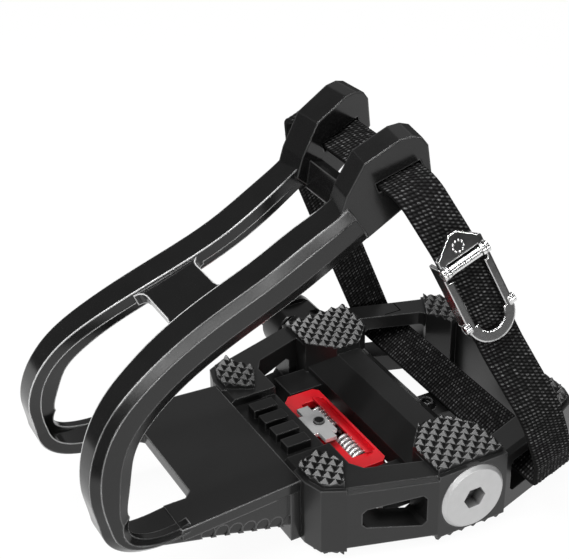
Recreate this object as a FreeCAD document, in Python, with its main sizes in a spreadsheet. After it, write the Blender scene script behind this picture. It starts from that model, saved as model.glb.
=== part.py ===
import FreeCAD, Part
import math
import os
import re
import Sketcher

# Left pedal of an indoor cycle: a toe cage on its upper side and a clip binding underneath.
# +X points to the toe, +Y points away from the crank and +Z points up. The origin lies on the
# spindle's axis at the shoulder that seats on the crank. Lengths are in millimetres, angles in degrees.

SIZES = [
    # spindle, from the crank outwards
    ("thread_radius", 7.144), ("thread_length", 13.0), ("thread_bevel", 0.9),
    ("flange_radius", 9.2), ("flange_length", 10.0), ("wrench_flat", 15.0), ("flat_length", 6.0),
    ("neck_radius", 7.9), ("shank_radius", 5.2), ("shank_end_radius", 4.8),
    ("inner_journal_radius", 6.0), ("outer_journal_radius", 4.0), ("stud_radius", 3.0),
    ("running_fit", 0.03), ("end_play", 0.3),
    ("socket_across", 6.0), ("socket_depth", 7.0),
    # bearings, seal, washer, nut and cap
    ("inner_seat_radius", 9.0), ("outer_seat_radius", 8.0), ("middle_bore_radius", 7.4),
    ("seal_width", 1.8), ("inner_bearing_width", 6.0), ("outer_bearing_width", 5.0),
    ("outer_bearing_setback", 18.0),
    ("washer_radius", 6.0), ("washer_thickness", 1.0), ("nut_across", 10.0), ("nut_height", 4.5),
    ("stud_proud", 0.9),
    ("cap_radius", 10.0), ("cap_rim", 2.1), ("cap_bevel", 1.0), ("cap_proud", 1.0),
    ("cap_plug_radius", 8.7), ("cap_plug_length", 4.3), ("cap_clearance", 0.1),
    ("cap_socket_across", 6.0), ("cap_socket_depth", 4.0),
    # pedal body
    ("body_mid", 60.5), ("body_half_width", 43.5), ("body_half_length", 43.0),
    ("bar_half_height", 10.3), ("bar_bevel", 1.3),
    ("end_half", 11.0), ("corner_along", 35.0), ("corner_across", 36.0),
    ("corner_cut_along", 41.2), ("corner_cut_across", 32.8), ("face_half", 27.0),
    ("window_mid_along", -0.5), ("window_mid_across", 38.8),
    ("window_corner_along", 26.0), ("window_corner_across", 29.8),
    ("front_window_end", 28.5), ("front_window_half", 26.0),
    ("rear_corner_along", 29.5), ("rear_corner_across", 28.6),
    ("rear_window_end", 37.0), ("rear_window_half", 22.0),
    ("tube_top", 9.3), ("tube_top_half", 3.6), ("tube_side", 10.0), ("tube_side_half", 3.0),
    ("pad_half_height", 12.7), ("stud_height", 1.35), ("stud_pitch", 2.72), ("pad_half", 10.5),
    ("pad_full_across", 29.5),
    ("pad_point_across", 22.0), ("pad_point_half", 4.0), ("pad_inset", 1.4),
    ("pad_inner_along", 30.2), ("pad_inner_across", 25.5),
    ("pad_side_along", 34.2), ("pad_side_across", 17.5), ("pad_face_across", 21.5),
    ("slot_near", 14.0), ("slot_far", 31.0), ("slot_near_half", 5.0), ("slot_far_half", 3.0),
    ("slot_round", 1.2),
    ("strap_slot_near", 13.0), ("strap_slot_far", 31.5), ("strap_slot_low", 4.4), ("strap_slot_high", 6.0),
    ("ridge_drop", 2.6), ("ridge_width", 4.0), ("ridge_pitch", 6.4), ("ridge_bank_half", 15.5),
    ("ridge_front_start", 32.0), ("ridge_front_end", 39.5), ("ridge_rear_start", 38.2),
    ("ledge_reach", 21.0), ("ledge_half", 5.5), ("ledge_top", 2.2), ("ledge_start", 6.0),
    ("lug_start", 8.0), ("lug_end", 20.6), ("lug_near", 21.0), ("lug_far", 31.0),
    ("lug_low", 6.6), ("lug_high", 1.2),
    # clip binding underneath
    ("jaw_plate_top", 9.6), ("jaw_plate_bottom", 12.2),
    ("head_radius", 10.0), ("head_along", 21.0), ("wing_half", 13.5), ("wing_start", 9.5), ("wing_end", 14.5),
    ("neck_half", 3.6), ("tail_start", 5.8), ("tail_end", 14.4), ("tail_half", 13.4),
    ("head_slot_start", 21.5), ("head_slot_end", 25.0), ("head_slot_half", 4.5),
    ("jaw_bolt_along", 13.9), ("jaw_bolt_radius", 2.1), ("jaw_bolt_head", 3.1), ("jaw_bolt_head_height", 2.2),
    ("screw_fit", 0.05),
    ("jaw_half", 20.0), ("jaw_back", 12.3), ("jaw_front", 27.0), ("jaw_top", 1.5), ("jaw_bottom", 12.3),
    ("jaw_slope_start", 4.5), ("jaw_slope_along", 23.5), ("jaw_corner", 5.0),
    ("claw_top", 10.3), ("claw_inner", 4.5), ("claw_outer", 7.5), ("claw_tip", 9.0), ("claw_root", 3.3),
    ("claw_side", 15.4), ("claw_shoulder", 0.2), ("claw_shoulder_across", 9.0),
    ("claw_corner_along", 2.0), ("claw_corner_across", 17.0), ("claw_side_start", 6.0),
    ("pocket_start", 13.0), ("pocket_end", 20.6), ("pocket_half", 14.6), ("pocket_floor", 7.0),
    ("tail_clear", 2.4), ("tail_clear_top", 8.2),
    ("pin_along", 16.8), ("pin_down", 2.6), ("pin_radius", 1.5), ("pin_half", 25.0), ("pin_fit", 0.06),
    ("hood_inner", 4.05), ("hood_outer", 4.9), ("hood_low", 1.5), ("hood_end", 0.8),
    ("coil_radius", 3.1), ("wire_radius", 0.6), ("coil_pitch", 1.75), ("coil_length", 10.5),
    ("coil_start", 2.4),
    ("boss_radius", 3.2), ("boss_along", 22.9), ("plate_bottom", 4.3), ("plate_thickness", 1.2),
    ("plate_half", 8.3), ("plate_start", 20.2), ("plate_end", 27.2), ("plate_notch", 1.7),
    ("plate_notch_half", 4.6),
    ("tension_radius", 1.6), ("tension_head", 2.5), ("tension_head_height", 2.2), ("tension_proud", 0.7),
    # toe cage
    ("flange_thickness", 3.2), ("flange_half", 25.4), ("flange_low", 9.6),
    ("sole_top", 9.7), ("sole_thickness", 3.4), ("sole_front", 79.0), ("sole_front_half", 28.25),
    ("toe_opening", 70.5), ("toe_opening_half", 16.7), ("toe_opening_corner", 2.2),
    ("wall_thickness", 2.4), ("wall_low", 5.6), ("wall_front", 84.0), ("wall_inset", 0.6),
    ("arch_start", 46.6), ("arch_pitch", 4.1), ("arch_radius", 1.9), ("arch_rise", 1.5), ("arch_depth", 0.5),
    ("gusset_across", 7.5), ("gusset_thickness", 2.2), ("gusset_reach", 63.0), ("gusset_low", 7.0),
    ("arm_bevel", 2.2), ("arm_step", 0.68), ("arm_edge_in", 1.5), ("arm_wall", 2.4), ("arm_flange", 3.5),
    ("loop_inner", 9.8), ("loop_outer", 18.2), ("loop_splay", 9.0), ("cage_lean", 1.6),
    ("bridge_front_along", 70.8), ("bridge_front_up", 59.6), ("bridge_rear_along", 56.9),
    ("bridge_rear_up", 65.4), ("bridge_thickness", 3.4), ("bridge_half", 15.0), ("bridge_flare", 2.5),
    ("bridge_front_waist", 6.3), ("bridge_rear_waist", 5.1), ("bridge_shift", 1.7),
    ("web_front", 22.5), ("web_rear", 17.5), ("web_low", 77.0), ("web_top", 85.0), ("web_half", 14.0),
    ("loop_slot_length", 12.6), ("loop_slot_height", 2.8),
    ("cage_bolt_across", 16.0), ("cage_bolt_radius", 2.5), ("cage_bolt_head", 4.2),
    ("cage_bolt_head_height", 2.6), ("bolt_socket_across", 3.0), ("bolt_socket_depth", 1.4),
    ("cage_nut_across", 8.0), ("cage_nut_height", 4.0), ("nut_pocket_radius", 5.0), ("cage_bolt_proud", 1.2),
    # strap, on a plane that leans with it
    ("strap_width", 11.8), ("strap_thickness", 1.8), ("strap_low_along", -23.0), ("strap_low_up", 1.4),
    ("strap_lean", 21.3), ("strap_top", 94.5), ("strap_top_half", 28.6),
    ("strap_bend_across", 37.5), ("strap_bend_up", 80.0), ("strap_bow_across", 45.5), ("strap_bow_up", 50.0),
    ("strap_belly_across", 54.4), ("strap_belly_up", 31.0), ("strap_return_across", 53.2),
    ("strap_return_up", 13.0),
    ("strap_out_across", 47.6), ("strap_in_across", 43.9), ("strap_in_up", 36.0),
    ("strap_high_across", 42.8), ("strap_high_up", 70.0),
    # buckle, on the strap's outer run
    ("buckle_drop", 3.4), ("rail_gap", 0.2), ("rail_thickness", 0.9), ("rail_back", 2.5), ("rail_front", 1.7),
    ("rail_lip", 1.2), ("lip_start", 0.4), ("rail_length", 17.0), ("rail_top", 1.7), ("arc_inner", 4.0),
    ("back_bar_low", 11.0), ("back_bar_high", 7.0), ("back_bar_gap", 0.3), ("back_bar_thickness", 1.2),
    ("buckle_pin_radius", 0.8), ("buckle_pin_out", 2.0), ("ear_radius", 1.6),
    ("roller_radius", 1.5), ("roller_half", 4.6), ("lever_ear_inner", 4.85), ("lever_ear_outer", 5.9),
    ("lever_start", 2.1), ("lever_shoulder", 4.0), ("lever_top", 8.6), ("lever_half", 6.6),
    ("lever_top_half", 1.2),
    ("lever_thickness", 1.2), ("knuckle_radius", 1.3), ("knuckle_half", 7.8),
]

# Stations of the outer cage arm from the sole plate to the strap loop: the outer front edge's place along
# and up, the turn of the section, its distance out from the middle, its flange and its depth.
ARM_STATIONS = [
    (76.0, 6.2, 90.0, 28.0, 11.4, 3.9), (88.0, 6.2, 82.0, 28.9, 11.0, 4.1),
    (95.6, 9.0, 50.0, 28.6, 10.0, 5.4), (99.6, 15.5, 21.0, 28.0, 9.0, 8.2),
    (101.2, 25.0, 2.0, 27.2, 8.6, 10.0), (99.4, 36.0, -18.0, 25.7, 8.7, 10.8),
    (94.0, 45.0, -43.0, 24.2, 9.2, 11.0), (85.0, 52.4, -56.0, 22.6, 9.8, 11.0),
    (73.0, 59.0, -64.0, 21.0, 10.4, 11.0), (60.0, 64.6, -66.0, 20.0, 10.6, 11.0),
    (47.0, 70.2, -64.0, 19.8, 10.6, 11.0), (34.0, 77.4, -60.0, 20.3, 10.4, 11.0),
    (25.0, 82.8, -58.0, 20.9, 10.0, 10.6),
]
for number, station in enumerate(ARM_STATIONS, 1):
    for word, value in zip(("along", "up", "turn", "out", "flange", "depth"), station):
        SIZES.append(("arm_%d_%s" % (number, word), value))

# Corners of the strap loop's side outline, along and up.
LOOP_CORNERS = [(27.0, 80.5), (25.3, 86.0), (20.5, 94.6), (11.2, 99.5), (7.9, 99.9), (5.3, 99.1), (3.6, 96.8),
                (2.4, 88.4), (8.0, 81.5), (19.5, 73.5)]
for number, corner in enumerate(LOOP_CORNERS, 1):
    for word, value in zip(("along", "up"), corner):
        SIZES.append(("loop_%d_%s" % (number, word), value))

doc = FreeCAD.newDocument("pedal")
sheet = doc.addObject("Spreadsheet::Sheet", "Sizes")
size = {}
for row, (alias, value) in enumerate(SIZES, 1):
    sheet.set("A%d" % row, alias)
    sheet.set("B%d" % row, str(value))
    sheet.setAlias("B%d" % row, alias)
    size[alias] = value
doc.recompute()


def bind(text):
    """Turns the sizes named in a formula into cells of the sheet."""
    return re.sub(r"[a-z_][a-z_0-9]*", lambda m: "Sizes." + m.group(0) if m.group(0) in size else m.group(0),
        str(text))


def place(item, base, turn=None):
    """Puts an object at three formulas, turned by a rotation formula."""
    spot = "vector(%s; %s; %s)" % tuple(bind(part) for part in base)
    item.setExpression("Placement", "placement(%s; %s)" % (spot, turn or "rotation(vector(0; 0; 1); 0)"))
    return item


FLAT = "rotation(vector(0; 0; 1); 0)"
SIDE = "rotation(vector(1; 0; 0); 90)"


def outline(name, points):
    """A closed outline whose corners are held at formulas."""
    sketch = doc.addObject("Sketcher::SketchObject", name)
    count = len(points)
    for number in range(count):
        angle = 2.0 * math.pi * number / count
        after = 2.0 * math.pi * (number + 1) / count
        start = FreeCAD.Vector(10 * math.cos(angle), 10 * math.sin(angle), 0)
        end = FreeCAD.Vector(10 * math.cos(after), 10 * math.sin(after), 0)
        sketch.addGeometry(Part.LineSegment(start, end), False)
    for number in range(count):
        sketch.addConstraint(Sketcher.Constraint("Coincident", number, 2, (number + 1) % count, 1))
    for number, (first, second) in enumerate(points):
        for kind, text in (("DistanceX", first), ("DistanceY", second)):
            place_of = sketch.addConstraint(Sketcher.Constraint(kind, number, 1, 1.0))
            sketch.setExpression("Constraints[%d]" % place_of, bind(text))
    return sketch


def extrude(name, sketch, length):
    solid = doc.addObject("Part::Extrusion", name)
    solid.Base = sketch
    solid.DirMode = "Normal"
    solid.Solid = True
    solid.setExpression("LengthFwd", bind(length))
    return solid


def slab(name, points, low, high):
    """A plan outline (along, across) between two heights."""
    sketch = outline(name + "_outline", [(x, "body_mid + (%s)" % u) for x, u in points])
    place(sketch, ("0", "0", low), FLAT)
    return extrude(name, sketch, "(%s) - (%s)" % (high, low))


def side_slab(name, points, near, far):
    """A side outline (along, up) between two distances out from the body's middle."""
    sketch = outline(name + "_outline", points)
    place(sketch, ("0", "body_mid + (%s)" % far, "0"), SIDE)
    return extrude(name, sketch, "(%s) - (%s)" % (far, near))


def box(name, x0, x1, u0, u1, z0, z1):
    solid = doc.addObject("Part::Box", name)
    solid.setExpression("Length", bind("(%s) - (%s)" % (x1, x0)))
    solid.setExpression("Width", bind("(%s) - (%s)" % (u1, u0)))
    solid.setExpression("Height", bind("(%s) - (%s)" % (z1, z0)))
    return place(solid, (x0, "body_mid + (%s)" % u0, z0))


def rod(name, radius, length, base, turn):
    solid = doc.addObject("Part::Cylinder", name)
    solid.setExpression("Radius", bind(radius))
    solid.setExpression("Height", bind(length))
    return place(solid, base, turn)


ALONG_X = "rotation(vector(0; 1; 0); 90)"
ALONG_Y = "rotation(vector(1; 0; 0); -90)"


def turned(name, points):
    """A solid turned about the spindle's axis from (radius, y) corners."""
    sketch = outline(name + "_profile", points)
    place(sketch, ("0", "0", "0"), FLAT)
    solid = doc.addObject("Part::Revolution", name)
    solid.Source = sketch
    solid.Axis = FreeCAD.Vector(0, 1, 0)
    solid.Angle = 360
    solid.Solid = True
    return solid


def fuse(name, items):
    joined = doc.addObject("Part::MultiFuse", name)
    joined.Shapes = items
    joined.Refine = True
    return joined


def cut(name, base, tools):
    tool = tools[0] if len(tools) == 1 else fuse(name + "_tools", tools)
    result = doc.addObject("Part::Cut", name)
    result.Base = base
    result.Tool = tool
    result.Refine = True
    return result


def common(name, first, second):
    result = doc.addObject("Part::Common", name)
    result.Base = first
    result.Tool = second
    return result


def mirrored(name, source):
    """The same piece on the other side of the body's middle plane."""
    result = doc.addObject("Part::Mirroring", name)
    result.Source = source
    result.Normal = FreeCAD.Vector(0, 1, 0)
    result.setExpression("Base", bind("vector(0; body_mid; 0)"))
    return result


def hexagon(name, across, length, base, turn):
    solid = doc.addObject("Part::Prism", name)
    solid.Polygon = 6
    solid.setExpression("Circumradius", bind("(%s) / cos(30 deg) / 2" % across))
    solid.setExpression("Height", bind(length))
    return place(solid, base, turn)


def both(half):
    """Adds the mirror image of corners that run along one side."""
    return half + [(x, "-(%s)" % u) for x, u in reversed(half)]


nodes = []


def node(name, item):
    item.Label = name
    nodes.append(item)
    return item


# Spindle
outer_end = "body_mid + body_half_width"
inner_end = "body_mid - body_half_width"
outer_seat = "(%s - outer_bearing_setback)" % outer_end
inner_seat = "(%s + seal_width + 2 * end_play)" % inner_end
spindle_body = turned("spindle_blank", [
    ("0", "-thread_length"), ("thread_radius - thread_bevel", "-thread_length"),
    ("thread_radius", "-thread_length + thread_bevel"), ("thread_radius", "0"), ("flange_radius", "0"),
    ("flange_radius", "flange_length"), ("neck_radius", "flange_length"),
    ("neck_radius", inner_seat + " - end_play"),
    ("inner_journal_radius - running_fit", inner_seat + " - end_play"),
    ("inner_journal_radius - running_fit", inner_seat + " + inner_bearing_width + end_play"),
    ("shank_radius", inner_seat + " + inner_bearing_width + end_play"),
    ("shank_end_radius", outer_seat + " - end_play"),
    ("outer_journal_radius - running_fit", outer_seat + " - end_play"),
    ("outer_journal_radius - running_fit", outer_seat + " + outer_bearing_width + end_play"),
    ("stud_radius - running_fit", outer_seat + " + outer_bearing_width + end_play"),
    ("stud_radius - running_fit",
     outer_seat + " + outer_bearing_width + end_play + washer_thickness + nut_height + stud_proud"),
    ("0", outer_seat + " + outer_bearing_width + end_play + washer_thickness + nut_height + stud_proud"),
])
flat_top = box("spindle_flat_top", "-flange_radius - 1", "flange_radius + 1",
    "-body_mid + flange_length - flat_length",
               "-body_mid + flange_length", "wrench_flat / 2", "flange_radius + 1")
flat_under = box("spindle_flat_under", "-flange_radius - 1", "flange_radius + 1",
                 "-body_mid + flange_length - flat_length", "-body_mid + flange_length", "-flange_radius - 1",
                 "-wrench_flat / 2")
spindle_socket = hexagon("spindle_socket", "socket_across", "socket_depth", ("0", "-thread_length", "0"),
    ALONG_Y)
node("spindle", cut("spindle_cut", spindle_body, [flat_top, flat_under, spindle_socket]))

washer_start = outer_seat + " + outer_bearing_width + end_play"
node("spindle_washer", turned("washer_ring", [
    ("stud_radius", washer_start), ("washer_radius", washer_start),
    ("washer_radius", washer_start + " + washer_thickness"),
    ("stud_radius", washer_start + " + washer_thickness")]))
nut_block = hexagon("nut_block", "nut_across", "nut_height",
    ("0", washer_start + " + washer_thickness", "0"), ALONG_Y)
nut_bore = rod("nut_bore", "stud_radius", "nut_height + 2",
    ("0", washer_start + " + washer_thickness - 1", "0"),
               ALONG_Y)
node("spindle_nut", cut("nut_cut", nut_block, [nut_bore]))

# Bearings, seal and end cap
node("spindle_seal", turned("seal_ring", [
    ("neck_radius + running_fit", inner_end + " + end_play"),
    ("inner_seat_radius", inner_end + " + end_play"),
    ("inner_seat_radius", inner_end + " + end_play + seal_width"),
    ("neck_radius + running_fit", inner_end + " + end_play + seal_width")]))
node("inner_bearing", turned("inner_bearing_ring", [
    ("inner_journal_radius", inner_seat), ("inner_seat_radius", inner_seat),
    ("inner_seat_radius", inner_seat + " + inner_bearing_width"),
    ("inner_journal_radius", inner_seat + " + inner_bearing_width")]))
node("outer_bearing", turned("outer_bearing_ring", [
    ("outer_journal_radius", outer_seat), ("outer_seat_radius", outer_seat),
    ("outer_seat_radius", outer_seat + " + outer_bearing_width"),
    ("outer_journal_radius", outer_seat + " + outer_bearing_width")]))
cap_face = outer_end + " + cap_proud"
cap_blank = turned("cap_blank", [
    ("0", cap_face + " - cap_rim - cap_plug_length"),
    ("cap_plug_radius", cap_face + " - cap_rim - cap_plug_length"),
    ("cap_plug_radius", cap_face + " - cap_rim"), ("cap_radius", cap_face + " - cap_rim"),
    ("cap_radius", cap_face + " - cap_bevel"), ("cap_radius - cap_bevel", cap_face), ("0", cap_face)])
cap_socket = hexagon("cap_socket", "cap_socket_across", "cap_socket_depth + 1",
                     ("0", cap_face + " - cap_socket_depth", "0"), ALONG_Y)
node("end_cap", cut("cap_cut", cap_blank, [cap_socket]))

# Pedal body: a bevelled frame with two windows
frame_side = [("body_half_length", "face_half"), ("corner_cut_along", "corner_cut_across"),
              ("corner_along", "corner_across"), ("end_half", "body_half_width"),
              ("-end_half", "body_half_width"), ("-corner_along", "corner_across"),
              ("-corner_cut_along", "corner_cut_across"), ("-body_half_length", "face_half")]
frame = slab("frame", both(frame_side), "-bar_half_height + bar_bevel", "bar_half_height - bar_bevel")
frame_top = slab("frame_top", both(frame_side), "bar_half_height - bar_bevel", "bar_half_height")
frame_top.TaperAngle = -45
frame_under_outline = outline("frame_under_outline",
    [(x, "body_mid + (%s)" % u) for x, u in both(frame_side)])
place(frame_under_outline, ("0", "0", "-bar_half_height + bar_bevel"), FLAT)
frame_under = extrude("frame_under", frame_under_outline, "bar_bevel")
frame_under.Reversed = True
frame_under.TaperAngle = -45
blank = fuse("frame_blank", [frame, frame_top, frame_under])
front_window = slab("front_window", both([
    ("front_window_end", "front_window_half"), ("window_corner_along", "window_corner_across"),
    ("window_mid_along", "window_mid_across")]), "-pad_half_height - 2", "pad_half_height + 2")
rear_window = slab("rear_window", both([
    ("-window_mid_along", "window_mid_across"), ("-rear_corner_along", "rear_corner_across"),
    ("-rear_window_end", "rear_window_half")]), "-pad_half_height - 2", "pad_half_height + 2")

# Side slots: two open windows ahead of the axle and the strap's two slots behind it
slot_points = [("slot_near", "-slot_near_half + slot_round"), ("slot_near + slot_round", "-slot_near_half"),
               ("slot_far - slot_round", "-slot_far_half"), ("slot_far", "-slot_far_half + slot_round"),
               ("slot_far", "slot_far_half - slot_round"), ("slot_far - slot_round", "slot_far_half"),
               ("slot_near + slot_round", "slot_near_half"), ("slot_near", "slot_near_half - slot_round")]
strap_slot_points = [
    ("-strap_slot_near", "-strap_slot_low + slot_round"),
    ("-strap_slot_near - slot_round", "-strap_slot_low"),
    ("-strap_slot_far + slot_round", "-strap_slot_low"), ("-strap_slot_far", "-strap_slot_low + slot_round"),
    ("-strap_slot_far", "strap_slot_high - slot_round"), ("-strap_slot_far + slot_round", "strap_slot_high"),
    ("-strap_slot_near - slot_round", "strap_slot_high"),
    ("-strap_slot_near", "strap_slot_high - slot_round")]
slots = []
for name, points in (("slot", slot_points), ("strap_slot", strap_slot_points)):
    slots.append(side_slab(name + "_outer", points, "rear_corner_across - 4", "body_half_width + 2"))
    slots.append(side_slab(name + "_inner", points, "-body_half_width - 2", "-rear_corner_across + 4"))

# Castellated ridges across the front and rear bars, on both faces
ridge_cuts = []
ridges = []
for end, start, stop, clear in (("front", "ridge_front_start", "ridge_front_end", "body_half_length + 2"),
                                ("rear", "-body_half_length", "-ridge_rear_start", "-rear_window_end + 2")):
    for face, low, high in (("top", "bar_half_height - ridge_drop", "bar_half_height + 2"),
                            ("under", "-bar_half_height - 2", "-bar_half_height + ridge_drop")):
        first = "front_window_end - 1" if end == "front" else "-body_half_length - 2"
        ridge_cuts.append(box("ridge_bed_%s_%s" % (end, face), first, clear, "-ridge_bank_half",
            "ridge_bank_half",
                              low, high))
        for number in range(4):
            middle = "(%d) * ridge_pitch / 2" % (2 * number - 3)
            ridges.append(box("ridge_%s_%s_%d" % (end, face, number + 1), start, stop,
                              middle + " - ridge_width / 2", middle + " + ridge_width / 2",
                              "-bar_half_height" if face == "under" else "bar_half_height - ridge_drop - 1",
                              "-bar_half_height + ridge_drop + 1" if face == "under" else "bar_half_height"))
frame_open = cut("frame_open", blank, [front_window, rear_window] + slots + ridge_cuts)

# Axle housing, pads, ledge for the fixed jaw and lugs for the moving jaw's pin
tube = side_slab("axle_housing", [
    ("tube_top_half", "tube_top"), ("tube_side", "tube_side_half"), ("tube_side", "-tube_side_half"),
    ("tube_top_half", "-tube_top"), ("-tube_top_half", "-tube_top"), ("-tube_side", "-tube_side_half"),
    ("-tube_side", "tube_side_half"), ("-tube_top_half", "tube_top")], "-pad_full_across", "pad_full_across")
pads = []
for sign, side in (("", "outer"), ("-", "inner")):
    block_points = [
        ("pad_half", sign + "pad_full_across"), ("end_half", sign + "body_half_width"),
        ("-end_half", sign + "body_half_width"), ("-pad_half", sign + "pad_full_across"),
        ("-pad_point_half", sign + "pad_point_across"), ("pad_point_half", sign + "pad_point_across")]
    pads.append(slab("end_block_" + side, block_points, "-bar_half_height", "bar_half_height"))
    for turn, end in (("", "front"), ("-", "rear")):
        pads.append(slab("corner_%s_%s" % (end, side), [
            (turn + "pad_inner_along", sign + "pad_inner_across"),
            (turn + "pad_side_along", sign + "pad_side_across"),
            (turn + "body_half_length", sign + "pad_face_across"),
            (turn + "body_half_length", sign + "face_half"),
            (turn + "corner_cut_along", sign + "corner_cut_across"),
            (turn + "corner_along", sign + "corner_across")],
            "-bar_half_height", "bar_half_height"))


def comb(name, along, across, angle, count):
    """A slab with a saw-toothed top, run across the pedal at an angle."""
    points = [("%g * stud_pitch" % (-count / 2.0), "bar_half_height - 1")]
    for number in range(count):
        points.append(("%g * stud_pitch" % (number - count / 2.0), "pad_half_height - stud_height"))
        points.append(("%g * stud_pitch" % (number + 0.5 - count / 2.0), "pad_half_height"))
    points.append(("%g * stud_pitch" % (count / 2.0), "pad_half_height - stud_height"))
    points.append(("%g * stud_pitch" % (count / 2.0), "bar_half_height - 1"))
    teeth = outline(name + "_teeth", points)
    reach = "%g * stud_pitch / 2" % count
    place(teeth, ("(%s) - sin(%g deg) * %s" % (along, angle, reach),
                  "body_mid + (%s) + cos(%g deg) * %s" % (across, angle, reach), "0"),
          "rotation(vector(0; 0; 1); %g) * rotation(vector(1; 0; 0); 90)" % angle)
    return extrude(name, teeth, "%g * stud_pitch" % count)


def studded(name, points, along, across, count):
    """A pad covered in small square pyramids that stand cornerwise."""
    field = common(name + "_field", comb(name + "_comb_one", along, across, 45, count),
                   comb(name + "_comb_two", along, across, -45, count))
    return common(name, slab(name + "_plan", points, "bar_half_height - 1", "pad_half_height + 1"), field)


def reflected(name, source, normal):
    result = doc.addObject("Part::Mirroring", name)
    result.Source = source
    result.Normal = FreeCAD.Vector(*normal)
    return result


# Studded pads: one at an end and one at a corner, reflected to the others
end_pad = studded("end_pad", [
    ("pad_half", "pad_full_across"), ("pad_half", "body_half_width - pad_inset"),
    ("-pad_half", "body_half_width - pad_inset"), ("-pad_half", "pad_full_across"),
    ("-pad_point_half", "pad_point_across"), ("pad_point_half", "pad_point_across")],
    "0", "(pad_point_across + body_half_width) / 2", 13)
corner_pad = studded("corner_pad", [
    ("pad_inner_along", "pad_inner_across"), ("pad_side_along", "pad_side_across"),
    ("body_half_length - pad_inset", "pad_face_across"), ("body_half_length - pad_inset", "face_half"),
    ("corner_cut_along - pad_inset", "corner_cut_across - pad_inset / 2"),
    ("corner_along", "corner_across - pad_inset")],
    "(pad_inner_along + body_half_length) / 2", "(pad_side_across + corner_across) / 2", 10)
outer_pads = doc.addObject("Part::Compound", "outer_top_pads")
outer_pads.Links = [end_pad, corner_pad, reflected("corner_pad_rear", corner_pad, (1, 0, 0))]
outer_under_pads = reflected("outer_under_pads", outer_pads, (0, 0, 1))
for item in (outer_pads, outer_under_pads):
    pads += [item, mirrored(item.Name + "_mirrored", item)]
ledge = box("jaw_ledge", "-ledge_reach", "-ledge_start", "-ledge_half", "ledge_half", "-jaw_plate_top",
    "-ledge_top")
lugs = [box("lug_outer", "lug_start", "lug_end", "lug_near", "lug_far", "-lug_low", "lug_high"),
        box("lug_inner", "lug_start", "lug_end", "-lug_far", "-lug_near", "-lug_low", "lug_high")]
body_full = fuse("body_full", [frame_open, tube, ledge] + pads + ridges + lugs)
bores = [
    rod("middle_bore", "middle_bore_radius", "2 * body_half_width", ("0", inner_end, "0"), ALONG_Y),
    rod("inner_seat_bore", "inner_seat_radius",
    inner_seat + " + inner_bearing_width - (" + inner_end + ") + 2",
        ("0", inner_end + " - 2", "0"), ALONG_Y),
    rod("outer_seat_bore", "outer_seat_radius", "outer_bearing_setback + 2", ("0", outer_seat, "0"), ALONG_Y),
    rod("cap_bore", "cap_plug_radius + cap_clearance", "cap_plug_length + cap_rim - cap_proud + 3",
        ("0", outer_end + " + cap_proud - cap_rim - cap_plug_length - 1", "0"), ALONG_Y),
    rod("cap_recess", "cap_radius + cap_clearance", "cap_rim - cap_proud + 2",
        ("0", outer_end + " + cap_proud - cap_rim", "0"), ALONG_Y),
    rod("jaw_pin_bore", "pin_radius", "2 * pin_half", ("pin_along", "body_mid - pin_half", "-pin_down"),
    ALONG_Y),
    rod("jaw_bolt_bore", "jaw_bolt_radius + screw_fit", "2 * jaw_plate_bottom",
        ("-jaw_bolt_along", "body_mid", "-jaw_plate_bottom - 2"), FLAT)]
for sign, side in (("+", "outer"), ("-", "inner")):
    spot = "body_mid %s cage_bolt_across" % sign
    bores.append(rod("cage_bolt_bore_" + side, "cage_bolt_radius + screw_fit",
                     "body_half_length - front_window_end + 4", ("front_window_end - 2", spot, "0"), ALONG_X))
    bores.append(rod("cage_nut_pocket_" + side, "nut_pocket_radius", "cage_nut_height + 2",
                     ("front_window_end - 2", spot, "0"), ALONG_X))
node("pedal_body", cut("body_cut", body_full, bores))

# Fixed jaw: round head with a slot, wings, neck over the axle housing and a cross-piece at the tail
jaw_plate = slab("jaw_plate", both([
    ("tail_end", "tail_half"), ("tail_start", "tail_half"), ("tail_start", "neck_half"),
    ("-wing_start", "neck_half"), ("-wing_start", "wing_half"), ("-wing_end", "wing_half")]),
    "-jaw_plate_bottom", "-jaw_plate_top")
jaw_head = rod("jaw_head", "head_radius", "jaw_plate_bottom - jaw_plate_top",
               ("-head_along", "body_mid", "-jaw_plate_bottom"), FLAT)
head_slot = box("head_slot", "-head_slot_end", "-head_slot_start", "-head_slot_half", "head_slot_half",
                "-jaw_plate_bottom - 1", "-jaw_plate_top + 1")
plate_bore = rod("plate_bore", "jaw_bolt_radius + screw_fit", "jaw_plate_bottom",
                 ("-jaw_bolt_along", "body_mid", "-jaw_plate_bottom - 1"), FLAT)
node("front_jaw", cut("front_jaw_cut", fuse("front_jaw_blank", [jaw_plate, jaw_head]),
    [head_slot, plate_bore]))
bolt_shank = rod("jaw_bolt_shank", "jaw_bolt_radius", "jaw_plate_bottom - ledge_top + 0.5",
                 ("-jaw_bolt_along", "body_mid", "-jaw_plate_bottom"), FLAT)
bolt_dome = doc.addObject("Part::Cone", "jaw_bolt_dome")
bolt_dome.setExpression("Radius1", bind("jaw_bolt_head"))
bolt_dome.setExpression("Radius2", bind("jaw_bolt_head * 0.55"))
bolt_dome.setExpression("Height", bind("jaw_bolt_head_height"))
place(bolt_dome, ("-jaw_bolt_along", "body_mid", "-ledge_top"))
bolt_socket = hexagon("jaw_bolt_socket", "bolt_socket_across", "bolt_socket_depth + 1",
                      ("-jaw_bolt_along", "body_mid",
                      "-ledge_top + jaw_bolt_head_height - bolt_socket_depth"),
                      FLAT)
node("jaw_bolt", cut("jaw_bolt_cut", fuse("jaw_bolt_solid", [bolt_shank, bolt_dome]), [bolt_socket]))

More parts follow.
